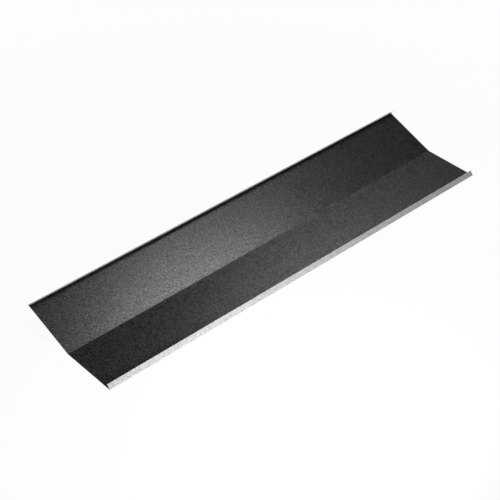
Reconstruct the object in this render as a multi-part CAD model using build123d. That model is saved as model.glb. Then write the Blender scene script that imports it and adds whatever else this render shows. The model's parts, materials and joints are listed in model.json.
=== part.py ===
"""A roof valley flashing: one steel sheet, creased along its middle, with both long edges turned up and in.

The sheet lies as it does unheld on a level floor: one flange flat, and the other rising behind the crease.
Millimetres. X runs along the valley, Y from the flat flange to the rising one, and Z is up. The origin is the
middle of the valley line, the corner where the undersides of the two flanges would meet if it weren't rounded.
"""
from build123d import *
from math import cos, radians, sin
import os

# Driving dimensions, in millimetres and degrees
sheet_length = 2000.0      # along the valley
sheet_thickness = 0.5      # steel with its coats
flange_width = 264.0       # valley line to the corner of the edge fold, on the underside
crease_turn = 20.0         # how far the sheet turns at the crease: the V is open by 180 less this
crease_radius = 3.0        # inside of the crease
edge_fold_width = 25.0     # corner of the edge fold to the free edge, on the outside
edge_fold_turn = 128.0     # how far each long edge is turned up and in
edge_fold_radius = 1.0     # inside of the edge folds


def step_from(point, distance, direction):
    """The point that lies a distance away in a direction, in degrees up from +Y, in the plane of the section."""
    return point[0] + distance * cos(radians(direction)), point[1] + distance * sin(radians(direction))


def underside_line():
    """The outside line of the section, from free edge to free edge, as points (y, z) with sharp corners."""
    flat_direction = 180.0
    rising_direction = crease_turn
    valley = (0.0, 0.0)
    flat_corner = step_from(valley, flange_width, flat_direction)
    rising_corner = step_from(valley, flange_width, rising_direction)
    flat_edge = step_from(flat_corner, edge_fold_width, flat_direction - edge_fold_turn)
    rising_edge = step_from(rising_corner, edge_fold_width, rising_direction + edge_fold_turn)
    return [flat_edge, flat_corner, valley, rising_corner, rising_edge]


def folded_sheet():
    """The sheet: its rounded underside line, thickened to the painted side and carried along the valley."""
    outside_radii = [radius + sheet_thickness for radius in (edge_fold_radius, crease_radius, edge_fold_radius)]
    with BuildPart() as sheet:
        with BuildSketch(Plane.YZ):
            with BuildLine():
                FilletPolyline(*underside_line(), radius=outside_radii)
                offset(amount=sheet_thickness, side=Side.LEFT)
            make_face()
        extrude(amount=sheet_length / 2, both=True)
    return sheet.part


os.makedirs("parts", exist_ok=True)
valley_sheet = folded_sheet()
export_step(valley_sheet, "parts/valley_sheet.step")
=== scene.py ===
"""A roof valley flashing: one coated steel sheet, creased into a shallow V, with both long edges turned in.

The sheet is one folded section carried along the valley. It has a graphite coat on its upper side, a light
grey back coat on its outside and bare steel at its cut edges. All sizes are in metres, in the frame of the
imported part: X runs along the valley, Y from the flange that lies flat to the one that rises, and Z is up.
"""
from __future__ import annotations

import json
import logging
from dataclasses import dataclass
from enum import Enum, IntEnum
from functools import reduce
from math import atan2, cos, pi, radians, sin, tan
from typing import Any

import bpy
import numpy as np
from mathutils import Matrix, Vector

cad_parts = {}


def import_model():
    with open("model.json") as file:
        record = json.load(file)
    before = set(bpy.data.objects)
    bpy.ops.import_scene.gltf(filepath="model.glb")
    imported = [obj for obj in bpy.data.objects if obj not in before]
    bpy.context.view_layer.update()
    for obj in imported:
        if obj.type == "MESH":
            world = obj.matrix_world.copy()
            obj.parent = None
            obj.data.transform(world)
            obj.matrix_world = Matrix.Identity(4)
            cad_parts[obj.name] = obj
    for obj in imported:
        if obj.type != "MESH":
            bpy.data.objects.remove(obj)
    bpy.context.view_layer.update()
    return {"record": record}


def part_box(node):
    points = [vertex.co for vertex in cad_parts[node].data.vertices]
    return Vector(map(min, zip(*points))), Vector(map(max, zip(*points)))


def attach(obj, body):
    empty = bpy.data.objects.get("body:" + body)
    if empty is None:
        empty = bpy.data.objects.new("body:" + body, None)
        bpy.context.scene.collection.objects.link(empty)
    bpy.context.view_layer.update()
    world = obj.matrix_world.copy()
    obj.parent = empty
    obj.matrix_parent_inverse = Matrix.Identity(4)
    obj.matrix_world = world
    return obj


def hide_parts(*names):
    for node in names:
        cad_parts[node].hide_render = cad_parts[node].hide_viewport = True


LOG = logging.getLogger("valley_flashing")
SHEET_NODE = "valley_sheet"

Colour = tuple[float, float, float]
Point = tuple[float, float, float]

WHITE: Colour = (1.0, 1.0, 1.0)
UP: Point = (0.0, 0.0, 1.0)
MIDDLE = 0.5  # the mean of a number that is spread evenly from 0 to 1


class Face(IntEnum):
    """The sides of the sheet that have a finish of their own, by the number of their material slot."""

    COAT = 0
    BACK = 1
    CUT = 2


class Ray(Enum):
    """The kinds of ray that see the studio's white, by the name of Light Path's output."""

    CAMERA = "Is Camera Ray"
    GLOSSY = "Is Glossy Ray"
    TRANSMISSION = "Is Transmission Ray"


class MixSocket(IntEnum):
    """The Mix node's sockets for colours, by number, because its other sockets have the same names."""

    SHARE = 0
    FIRST = 6
    SECOND = 7
    RESULT = 2


class Signal:
    """One output socket of a shader, with the arithmetic that the finishes use on values."""

    def __init__(self, shader: Shader, socket: bpy.types.NodeSocket) -> None:
        """Keeps the socket and the shader that it belongs to."""
        self.shader = shader
        self.socket = socket

    def _math(self, operation: str, first: Signal | float, second: Signal | float) -> Signal:
        """Adds one Math node on two values, in this order."""
        return self.shader.node("ShaderNodeMath", {"operation": operation}, {0: first, 1: second})

    def __add__(self, other: Signal | float) -> Signal:
        """This value plus another."""
        return self._math("ADD", self, other)

    def __radd__(self, other: float) -> Signal:
        """A number plus this value."""
        return self._math("ADD", other, self)

    def __sub__(self, other: Signal | float) -> Signal:
        """This value less another."""
        return self._math("SUBTRACT", self, other)

    def __rsub__(self, other: float) -> Signal:
        """A number less this value."""
        return self._math("SUBTRACT", other, self)

    def __mul__(self, other: Signal | float) -> Signal:
        """This value times another."""
        return self._math("MULTIPLY", self, other)

    def __rmul__(self, other: float) -> Signal:
        """A number times this value."""
        return self._math("MULTIPLY", other, self)

    def or_more(self, other: Signal | float) -> Signal:
        """The greater of this value and another."""
        return self._math("MAXIMUM", self, other)


class Shader:
    """A node tree under construction."""

    def __init__(self, tree: bpy.types.NodeTree) -> None:
        """Empties the tree, so that it holds only what is added here."""
        tree.nodes.clear()
        self.tree = tree

    def node(
        self,
        kind: str,
        settings: dict[str, Any] | None = None,
        sockets: dict[str | int, Any] | None = None,
        output: str | int = 0,
    ) -> Signal | None:
        """Adds one node.

        Args:
            kind: The node's type.
            settings: The node's own settings, set first.
            sockets: The value of, or the link to, each input by name or number.
            output: The output that is handed on.

        Returns:
            That output, or None for a node that has none.
        """
        made = self.tree.nodes.new(kind)
        for name, value in (settings or {}).items():
            setattr(made, name, value)
        for key, value in (sockets or {}).items():
            if isinstance(value, Signal):
                self.tree.links.new(value.socket, made.inputs[key])
            else:
                made.inputs[key].default_value = value
        return Signal(self, made.outputs[output]) if made.outputs else None

    def place(self) -> Signal:
        """The place on the object, in metres."""
        return self.node("ShaderNodeTexCoord", output="Object")

    def noise(self, per_metre: float, gain: float = 1.0, detail: float = 2.0) -> Signal:
        """Noise on the place on the object, spread about its middle.

        Args:
            per_metre: How many cells of the noise lie along a metre.
            gain: How far the noise is spread out from its middle.
            detail: How many finer octaves are added.

        Returns:
            The value (noise - middle) x gain + middle.
        """
        sockets = {"Vector": self.place(), "Scale": per_metre, "Detail": detail}
        return (self.node("ShaderNodeTexNoise", sockets=sockets) - MIDDLE) * gain + MIDDLE

    def flakes(self, per_metre: float) -> Signal:
        """Small cells that fill the object's space, with three random numbers from 0 to 1 for each.

        Args:
            per_metre: How many cells lie along a metre.

        Returns:
            The three numbers, as a colour.
        """
        sockets = {"Vector": self.place(), "Scale": per_metre}
        return self.node("ShaderNodeTexVoronoi", sockets=sockets, output="Color")

    def third(self, flakes: Signal) -> Signal:
        """The last of a flake's three numbers."""
        return self.node("ShaderNodeSeparateColor", sockets={"Color": flakes}, output="Blue")

    def tilted(self, flakes: Signal, tilt: float) -> Signal:
        """The surface's direction with each flake tilted by chance.

        Args:
            flakes: The flakes' three numbers, which give the way of the tilt.
            tilt: How far the ends of a flake's direction lie apart at most.

        Returns:
            The direction (normal + (numbers - 1/2) x tilt), at length 1.
        """
        normal = self.node("ShaderNodeNewGeometry", output="Normal")
        lean = {0: flakes, 1: (tilt,) * 3, 2: (-tilt * MIDDLE,) * 3}
        sideways = self.node("ShaderNodeVectorMath", {"operation": "MULTIPLY_ADD"}, lean)
        leaning = self.node("ShaderNodeVectorMath", {"operation": "ADD"}, {0: normal, 1: sideways})
        return self.node("ShaderNodeVectorMath", {"operation": "NORMALIZE"}, {0: leaning})

    def relief(self, height: Signal, normal: Signal | None = None) -> Signal:
        """The surface's direction over a fine relief.

        Args:
            height: The relief's height, in metres.
            normal: The direction that the relief is added to, if it isn't the surface's own.

        Returns:
            The direction.
        """
        sockets = {"Distance": 1.0, "Height": height}
        if normal is not None:
            sockets["Normal"] = normal
        return self.node("ShaderNodeBump", sockets=sockets)

    def blend(self, share: Signal, first: Colour, second: Colour) -> Signal:
        """The colour that lies between two others by this share, from 0 to 1."""
        sockets = {MixSocket.SHARE: share, MixSocket.FIRST: opaque(first), MixSocket.SECOND: opaque(second)}
        return self.node("ShaderNodeMix", {"data_type": "RGBA"}, sockets, MixSocket.RESULT)

    def surface(self, shade: Signal) -> None:
        """Ends the tree in this surface."""
        self.node("ShaderNodeOutputMaterial", sockets={"Surface": shade})


def new_material(name: str) -> tuple[bpy.types.Material, Shader]:
    """A new material and its empty shader."""
    material = bpy.data.materials.new(name)
    material.use_nodes = True
    return material, Shader(material.node_tree)


def scaled(colour: Colour, share: float) -> Colour:
    """A colour made lighter or darker by one share."""
    red, green, blue = colour
    return red * share, green * share, blue * share


def opaque(colour: Colour) -> tuple[float, float, float, float]:
    """A colour as a socket takes it, with its alpha at 1."""
    return (*colour, 1.0)


@dataclass(frozen=True)
class GraphiteCoat:
    """The upper side's coat: a near-black matt paint with a fine grain, which glints more and less."""

    colour: Colour = (0.0165, 0.0165, 0.0166)
    colour_spread: float = 0.98  # share by which the lightest and darkest flakes differ from the colour
    roughness: float = 0.24
    roughness_spread: float = 0.06  # between the dullest and the shiniest flake
    cloud_per_metre: float = 7.0
    cloud_gain: float = 2.0
    cloud_spread: float = 0.02  # what the clouds add to the roughness
    body_gloss: float = 0.2
    glint: float = 0.5
    glint_spread: float = 0.48  # between the weakest and the strongest flake
    glint_roughness: float = 0.24
    glint_ior: float = 1.8
    flakes_per_metre: float = 230.0
    flake_tilt: float = 0.13
    fine_per_metre: float = 900.0
    fine_height: float = 0.00002

    def material(self) -> bpy.types.Material:
        """Makes the paint: each flake has a colour, a glint and a tilt, and clouds move the roughness."""
        material, shader = new_material("graphite_coat")
        flakes = shader.flakes(self.flakes_per_metre)
        grain = shader.third(flakes)
        fine = shader.noise(self.fine_per_metre)
        cloud = shader.noise(self.cloud_per_metre, self.cloud_gain)
        dark = scaled(self.colour, 1.0 - self.colour_spread)
        light = scaled(self.colour, 1.0 + self.colour_spread)
        flake_shine = (grain - MIDDLE) * self.roughness_spread
        cloud_dullness = (cloud - MIDDLE) * self.cloud_spread
        tilted = shader.tilted(flakes, self.flake_tilt)
        sockets = {
            "Base Color": shader.blend(grain, dark, light),
            "Roughness": self.roughness - flake_shine + cloud_dullness,
            "Specular IOR Level": self.body_gloss,
            "Coat Weight": self.glint + (grain - MIDDLE) * self.glint_spread,
            "Coat Roughness": self.glint_roughness,
            "Coat IOR": self.glint_ior,
            "Normal": shader.relief(fine * self.fine_height, tilted),
        }
        shader.surface(shader.node("ShaderNodeBsdfPrincipled", sockets=sockets))
        return material


@dataclass(frozen=True)
class BackCoat:
    """The outside's thin back coat: light grey, with small darker specks where the primer shows through."""

    colour: Colour = (0.50, 0.50, 0.504)
    speck_colour: Colour = (0.30, 0.30, 0.306)
    specks_per_metre: float = 260.0
    roughness: float = 0.5
    roughness_spread: float = 0.12  # between the darkest and the lightest speck
    fine_per_metre: float = 900.0
    fine_height: float = 0.00002

    def material(self) -> bpy.types.Material:
        """Makes the paint: specks darken and dull it, and a fine roll mark roughens it."""
        material, shader = new_material("back_coat")
        specks = shader.third(shader.flakes(self.specks_per_metre))
        fine = shader.noise(self.fine_per_metre)
        sockets = {
            "Base Color": shader.blend(specks, self.speck_colour, self.colour),
            "Roughness": self.roughness - (specks - MIDDLE) * self.roughness_spread,
            "Normal": shader.relief(fine * self.fine_height),
        }
        shader.surface(shader.node("ShaderNodeBsdfPrincipled", sockets=sockets))
        return material


@dataclass(frozen=True)
class CutSteel:
    """The sheared edges: bare zinc-coated steel, dulled and streaked by the shear."""

    colour: Colour = (0.42, 0.42, 0.43)
    dark_colour: Colour = (0.20, 0.20, 0.205)
    streaks_per_metre: float = 900.0
    streak_gain: float = 1.6
    roughness: float = 0.45
    roughness_spread: float = 0.2  # between the darkest and the lightest streak

    def material(self) -> bpy.types.Material:
        """Makes the bare metal: streaks darken and roughen it."""
        material, shader = new_material("cut_steel")
        streaks = shader.noise(self.streaks_per_metre, self.streak_gain)
        sockets = {
            "Base Color": shader.blend(streaks, self.dark_colour, self.colour),
            "Metallic": 1.0,
            "Roughness": self.roughness + (MIDDLE - streaks) * self.roughness_spread,
        }
        shader.surface(shader.node("ShaderNodeBsdfPrincipled", sockets=sockets))
        return material


@dataclass(frozen=True)
class StudioWhite:
    """The floor's and backdrop's finish: pale and plain, and seen as white, with the object's shadow kept."""

    colour: Colour = (0.8, 0.8, 0.8)
    white_share_near: float = 0.95
    white_share_far: float = 1.0
    near: float = 1.2
    far: float = 3.5

    def material(self) -> bpy.types.Material:
        """Makes the finish: a plain pale surface, under white for the rays that look at the background.

        The share of white rises smoothly with the distance from the object, so the shadow round it stays.

        Returns:
            The finish.
        """
        material, shader = new_material("studio_white")
        place = {0: shader.place()}
        distance = shader.node("ShaderNodeVectorMath", {"operation": "LENGTH"}, place, "Value")
        reach = {"Value": distance, "From Min": self.near, "From Max": self.far}
        shares = {"To Min": self.white_share_near, "To Max": self.white_share_far}
        smooth = {"interpolation_type": "SMOOTHSTEP"}
        white_share = shader.node("ShaderNodeMapRange", smooth, reach | shares)
        looks = [shader.node("ShaderNodeLightPath", output=ray.value) for ray in Ray]
        seen = reduce(Signal.or_more, looks)
        plain = shader.node("ShaderNodeBsdfDiffuse", sockets={"Color": opaque(self.colour)})
        white = shader.node("ShaderNodeEmission", sockets={"Color": opaque(WHITE), "Strength": 1.0})
        layers = {0: seen * white_share, 1: plain, 2: white}
        shader.surface(shader.node("ShaderNodeMixShader", sockets=layers))
        return material


def surface_object(name: str, points: np.ndarray, faces: np.ndarray) -> bpy.types.Object:
    """Puts a surface of four-cornered faces into the scene.

    Args:
        name: The object's name.
        points: Its points, one row of x, y and z each.
        faces: Its faces, one row of four point numbers each.

    Returns:
        The object, at the origin, with its place in its mesh.
    """
    count, corners = faces.shape
    mesh = bpy.data.meshes.new(name)
    mesh.vertices.add(len(points))
    mesh.vertices.foreach_set("co", points.astype(np.float32).ravel())
    mesh.loops.add(faces.size)
    mesh.loops.foreach_set("vertex_index", faces.astype(np.int32).ravel())
    mesh.polygons.add(count)
    mesh.polygons.foreach_set("loop_start", np.arange(0, faces.size, corners, dtype=np.int32))
    mesh.polygons.foreach_set("use_smooth", np.ones(count, dtype=bool))
    mesh.update(calc_edges=True)
    mesh.validate()
    made = bpy.data.objects.new(name, mesh)
    bpy.context.scene.collection.objects.link(made)
    return made


def ring_faces(stations: int, ring: int) -> np.ndarray:
    """The faces of a closed ring of points carried along a path.

    Face (j, i) joins points i and i + 1 of the ring at station j to the same points at station j + 1, and the
    ring closes on itself.

    Args:
        stations: How many copies of the ring there are.
        ring: How many points a ring has.

    Returns:
        One row of four point numbers for each face, station by station.
    """
    here = np.arange(stations - 1)[:, None] * ring
    start = np.arange(ring)[None, :]
    end = (start + 1) % ring
    corners = [here + start, here + end, here + ring + end, here + ring + start]
    return np.stack(corners, axis=-1).reshape(-1, len(corners))


@dataclass(frozen=True)
class Run:
    """A stretch of the section: a flat, or a bend with an even curve."""

    length: float
    turn: float
    steps: int


@dataclass
class ValleySheet:
    """The folded sheet, from the free edge on the flat flange to the free edge on the rising one."""

    length: float
    flange_width: float
    crease_turn: float
    edge_fold_width: float
    edge_fold_turn: float
    thickness: float = 0.0005
    crease_radius: float = 0.003  # inside the bend, as is the next
    edge_fold_radius: float = 0.001
    edge_steps: int = 3
    fold_steps: int = 16
    flange_steps: int = 12
    crease_steps: int = 8
    stations: int = 161
    sharp_angle: float = radians(30.0)

    @classmethod
    def from_frame(cls, record: dict[str, Any], box: tuple[Vector, Vector]) -> ValleySheet:
        """Takes the sheet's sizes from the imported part.

        The axis at the flat flange's free edge points along that turned-up edge, so the edge runs back down
        it to the corner of the fold. The axis of the rising flange's underside gives the turn at the crease.

        Args:
            record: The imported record.
            box: The lowest and highest corner of the sheet's node.

        Returns:
            The sheet, not yet built.
        """
        mounts = {mount["name"]: mount for mount in record["mounts"]}
        edge = mounts["flat_flange_edge"]
        rising = mounts["rising_flange_underside"]["axis"]
        fold_width = edge["pos_m"][2] / edge["axis"][2]
        return cls(
            length=box[1].x - box[0].x,
            flange_width=fold_width * edge["axis"][1] - edge["pos_m"][1],
            crease_turn=atan2(rising[1], -rising[2]),
            edge_fold_width=fold_width,
            edge_fold_turn=pi - atan2(edge["axis"][2], edge["axis"][1]),
        )

    def runs(self) -> list[Run]:
        """The section's flats and bends, in order, with their lengths along the outside.

        A bend's length is its outside radius times its turn, and the flats beside it are shorter by that
        radius times the tangent of half the turn.

        Returns:
            The seven runs.
        """
        crease_outside = self.crease_radius + self.thickness
        fold_outside = self.edge_fold_radius + self.thickness
        crease_setback = crease_outside * tan(self.crease_turn / 2)
        fold_setback = fold_outside * tan(self.edge_fold_turn / 2)
        flange_length = self.flange_width - fold_setback - crease_setback
        edge = Run(self.edge_fold_width - fold_setback, 0.0, self.edge_steps)
        fold = Run(fold_outside * self.edge_fold_turn, self.edge_fold_turn, self.fold_steps)
        flange = Run(flange_length, 0.0, self.flange_steps)
        crease = Run(crease_outside * self.crease_turn, self.crease_turn, self.crease_steps)
        return [edge, fold, flange, crease, flange, fold, edge]

    def section(self) -> tuple[np.ndarray, np.ndarray]:
        """The section's outside and inside lines.

        The heading stays the same along a flat and grows evenly in a bend. A step goes along its middle
        heading, by its length times sin(half its turn) / (half its turn), and the outside line is the running
        sum of the steps from the free edge on the flat flange. The inside line lies one thickness to the left
        of it.

        Returns:
            The outside and the inside points, one row of y and z each.
        """
        runs = self.runs()
        lengths = np.concatenate([np.full(run.steps, run.length / run.steps) for run in runs])
        turns = np.concatenate([np.full(run.steps, run.turn / run.steps) for run in runs])
        headings = np.concatenate([[0.0], np.cumsum(turns)]) - self.edge_fold_turn
        middle = (headings[:-1] + headings[1:]) / 2
        chords = lengths * np.sinc(turns / (2 * pi))
        steps = chords[:, None] * np.stack([np.cos(middle), np.sin(middle)], axis=1)
        free_edge = self.edge_fold_width * np.array([cos(headings[0]), sin(headings[0])])
        start = np.array([-self.flange_width, 0.0]) - free_edge
        outside = start + np.concatenate([np.zeros((1, 2)), np.cumsum(steps, axis=0)])
        left = np.stack([-np.sin(headings), np.cos(headings)], axis=1)
        return outside, outside + self.thickness * left

    def end_faces(self, count: int) -> np.ndarray:
        """The faces that close the sheet's two ends.

        Each joins a step of the outside line to the same step of the inside line, which lies in the second
        half of the ring, in reverse. The far end has its corners in the other order, so both ends face away
        from the sheet.

        Args:
            count: How many points the outside line has.

        Returns:
            One row of four point numbers for each face.
        """
        outside = np.arange(count)
        inside = 2 * count - 1 - outside
        near_end = np.stack([outside[:-1], inside[:-1], inside[1:], outside[1:]], axis=1)
        far_end = near_end[:, ::-1] + (self.stations - 1) * 2 * count
        return np.concatenate([near_end, far_end])

    def build(self) -> bpy.types.Object:
        """Builds the sheet: the ring of the outside line and the reversed inside line, along the valley.

        Returns:
            The sheet, closed and without a finish, with the number of its finish on each face.
        """
        outside, inside = self.section()
        count = len(outside)
        ring = np.concatenate([outside, inside[::-1]])
        along = np.linspace(-self.length / 2, self.length / 2, self.stations)
        points = np.empty((self.stations, 2 * count, 3))
        points[:, :, 0] = along[:, None]
        points[:, :, 1:] = ring[None]
        ends = self.end_faces(count)
        faces = np.concatenate([ring_faces(self.stations, 2 * count), ends])
        around = np.full(2 * count, Face.CUT)
        around[: count - 1] = Face.BACK
        around[count : 2 * count - 1] = Face.COAT
        finish = np.concatenate([np.tile(around, self.stations - 1), np.full(len(ends), Face.CUT)])
        sheet = surface_object("folded_sheet", points.reshape(-1, 3), faces)
        sheet.data.polygons.foreach_set("material_index", finish.astype(np.int32))
        sheet.data.set_sharp_from_angle(angle=self.sharp_angle)
        return sheet

    def dress(self, sheet: bpy.types.Object) -> None:
        """Gives the sheet its three finishes, in the order of Face."""
        for finish in (GraphiteCoat(), BackCoat(), CutSteel()):
            sheet.data.materials.append(finish.material())


@dataclass(frozen=True)
class SoftLamp:
    """A round soft lamp that isn't seen itself, and that shows in gloss or only lights what is matt."""

    name: str
    place: Point
    aim: Point
    radius: float
    radiance: float
    glossy: bool = True

    def build(self) -> bpy.types.Object:
        """Hangs the lamp, turned to the point that it is aimed at.

        A lamp's power is pi times its area times its radiance.

        Returns:
            The lamp.
        """
        light = bpy.data.lights.new(self.name, "AREA")
        light.shape = "DISK"
        light.size = 2 * self.radius
        light.energy = pi * (pi * self.radius**2) * self.radiance
        lamp = bpy.data.objects.new(self.name, light)
        lamp.location = self.place
        ahead = Vector(self.aim) - Vector(self.place)
        lamp.rotation_euler = ahead.to_track_quat("-Z", "Y").to_euler()
        lamp.visible_camera = False
        lamp.visible_glossy = self.glossy
        bpy.context.scene.collection.objects.link(lamp)
        return lamp


@dataclass
class Studio:
    """The floor with its rising backdrop, the lamps and the dim light all round."""

    floor_drop: float = 0.0008  # how far the floor lies below the sheet
    floor_radius: float = 14.0
    cove_radius: float = 3.0
    wall_height: float = 6.0
    around: int = 96
    floor_points: int = 12
    cove_points: int = 16
    ambient: float = 0.075
    lamps: tuple[SoftLamp, ...] = (
        SoftLamp("overhead_lamp", (1.23, -0.51, 3.06), (0.71, 0.0, 0.0), radius=0.91, radiance=5.30),
        SoftLamp("back_lamp", (3.24, 2.48, 4.68), (0.16, 0.0, 0.0), radius=1.22, radiance=2.20),
        SoftLamp(
            "edge_lamp", (-0.51, -1.36, 0.57), (-0.97, 0.0, 0.0), radius=0.28, radiance=31.50, glossy=False
        ),
    )

    def profile(self) -> np.ndarray:
        """The backdrop's line from the middle of the floor outwards: a flat, a quarter circle and a wall.

        Returns:
            Its points, one row of radius and height each.
        """
        floor_out = np.linspace(0.0, self.floor_radius, self.floor_points)
        flat = np.stack([floor_out, np.zeros(self.floor_points)], axis=1)
        turn = np.linspace(0.0, pi / 2, self.cove_points)[1:]
        cove_out = self.floor_radius + self.cove_radius * np.sin(turn)
        cove = np.stack([cove_out, self.cove_radius * (1.0 - np.cos(turn))], axis=1)
        wall = np.array([[self.floor_radius + self.cove_radius, self.wall_height]])
        return np.concatenate([flat, cove, wall]) - np.array([0.0, self.floor_drop])

    def build_backdrop(self) -> bpy.types.Object:
        """Builds the bowl: the profile turned about Z.

        Point (radius, angle) lies at radius x (cos, sin) of the angle, at the profile's height. The rings run
        clockwise, so the faces look up and inwards.

        Returns:
            The floor and backdrop in one.
        """
        profile = self.profile()
        angles = -np.linspace(0.0, 2 * pi, self.around, endpoint=False)
        points = np.empty((len(profile), self.around, 3))
        points[:, :, 0] = profile[:, :1] * np.cos(angles)
        points[:, :, 1] = profile[:, :1] * np.sin(angles)
        points[:, :, 2] = profile[:, 1:]
        faces = ring_faces(len(profile), self.around)
        backdrop = surface_object("backdrop", points.reshape(-1, 3), faces)
        backdrop.data.materials.append(StudioWhite().material())
        return backdrop

    def build_lamps(self) -> list[bpy.types.Object]:
        """Hangs all the lamps."""
        return [lamp.build() for lamp in self.lamps]

    def light_world(self) -> None:
        """Gives the room its dim and even light."""
        world = bpy.data.worlds.new("room")
        world.use_nodes = True
        shader = Shader(world.node_tree)
        sockets = {"Color": opaque(WHITE), "Strength": self.ambient}
        light = shader.node("ShaderNodeBackground", sockets=sockets)
        shader.node("ShaderNodeOutputWorld", sockets={"Surface": light})
        bpy.context.scene.world = world


@dataclass(frozen=True)
class ViewCamera:
    """The camera: it stands before the near left corner and looks down along the sheet."""

    place: Point = (-3.0025, -3.3817, 3.5462)
    azimuth: float = radians(-40.835)
    elevation: float = radians(38.362)
    roll: float = radians(-1.184)
    lens: float = 99.685  # in millimetres, as is the sensor
    sensor: float = 36.0

    def build(self) -> bpy.types.Object:
        """Sets up the camera and makes it the scene's own.

        It looks along (-sin azimuth x cos elevation, cos azimuth x cos elevation, -sin elevation), and is
        then turned about that line by the roll.

        Returns:
            The camera.
        """
        level = cos(self.elevation)
        ahead = Vector((-sin(self.azimuth) * level, cos(self.azimuth) * level, -sin(self.elevation)))
        right = ahead.cross(Vector(UP)).normalized()
        upright = right.cross(ahead)
        rolled_right = right * cos(self.roll) + upright * sin(self.roll)
        rolled_up = upright * cos(self.roll) - right * sin(self.roll)
        turned = Matrix((rolled_right, rolled_up, -ahead)).transposed().to_4x4()
        data = bpy.data.cameras.new("view_camera")
        data.lens = self.lens
        data.sensor_width = self.sensor
        camera = bpy.data.objects.new("view_camera", data)
        camera.matrix_world = Matrix.Translation(self.place) @ turned
        bpy.context.scene.collection.objects.link(camera)
        bpy.context.scene.camera = camera
        return camera


def main() -> None:
    """Builds the flashing, the studio and the camera, in this order."""
    logging.basicConfig(level=logging.INFO, format="%(message)s")
    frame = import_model()
    bpy.context.scene.view_settings.view_transform = "Standard"

    flashing = ValleySheet.from_frame(frame["record"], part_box(SHEET_NODE))
    sheet = flashing.build()
    flashing.dress(sheet)
    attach(sheet, "root")
    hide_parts(SHEET_NODE)
    LOG.info("%s: %d faces, %d finishes", sheet.name, len(sheet.data.polygons), len(sheet.data.materials))

    studio = Studio()
    backdrop = studio.build_backdrop()
    LOG.info("%s: %d faces", backdrop.name, len(backdrop.data.polygons))
    for lamp in studio.build_lamps():
        LOG.info("%s: %.1f W", lamp.name, lamp.data.energy)
    studio.light_world()
    camera = ViewCamera().build()
    LOG.info("%s: %.1f mm lens", camera.name, camera.data.lens)


if __name__ == "__main__":
    main()
